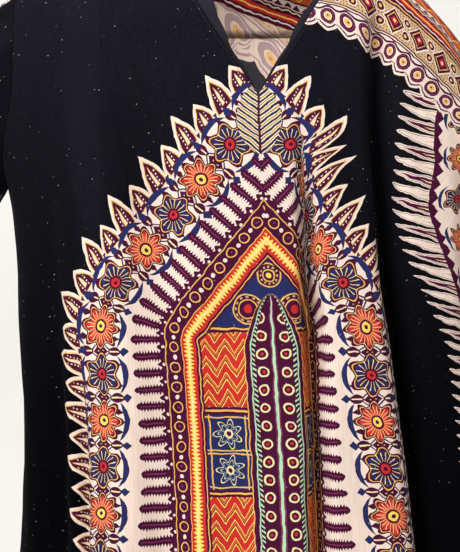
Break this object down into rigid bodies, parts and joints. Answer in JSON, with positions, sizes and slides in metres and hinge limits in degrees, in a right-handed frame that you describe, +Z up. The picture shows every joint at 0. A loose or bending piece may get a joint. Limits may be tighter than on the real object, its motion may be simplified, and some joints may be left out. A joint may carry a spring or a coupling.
{
  "type": "dashiki dress",
  "caption": "Knee-length black cotton dashiki dress with a V neck, wide short sleeves and a bright printed panel down the front.",
  "frame": {"origin": "midway between the two neck points of the shoulder seams, just below the highest point of the dress", "axes": "+Z up towards the neck, +X towards the wearer's left sleeve, on the right of someone who faces the front, and -Y the way the front faces"},
  "size_m": [0.8228, 0.3108, 0.9922],
  "materials": {
    "front_cotton": "matt black printed plain-weave cotton",
    "back_cotton": "matt black printed plain-weave cotton",
    "sleeve_cotton": "matt black printed plain-weave cotton",
    "facing_cotton": "matt printed plain-weave cotton"
  },
  "bodies": {
    "root": {"front": "front_cotton", "back": "back_cotton", "sleeve_left": "sleeve_cotton", "sleeve_right": "sleeve_cotton", "neck_facing_front": "facing_cotton", "neck_facing_back": "facing_cotton"}
  },
  "joints": []
}
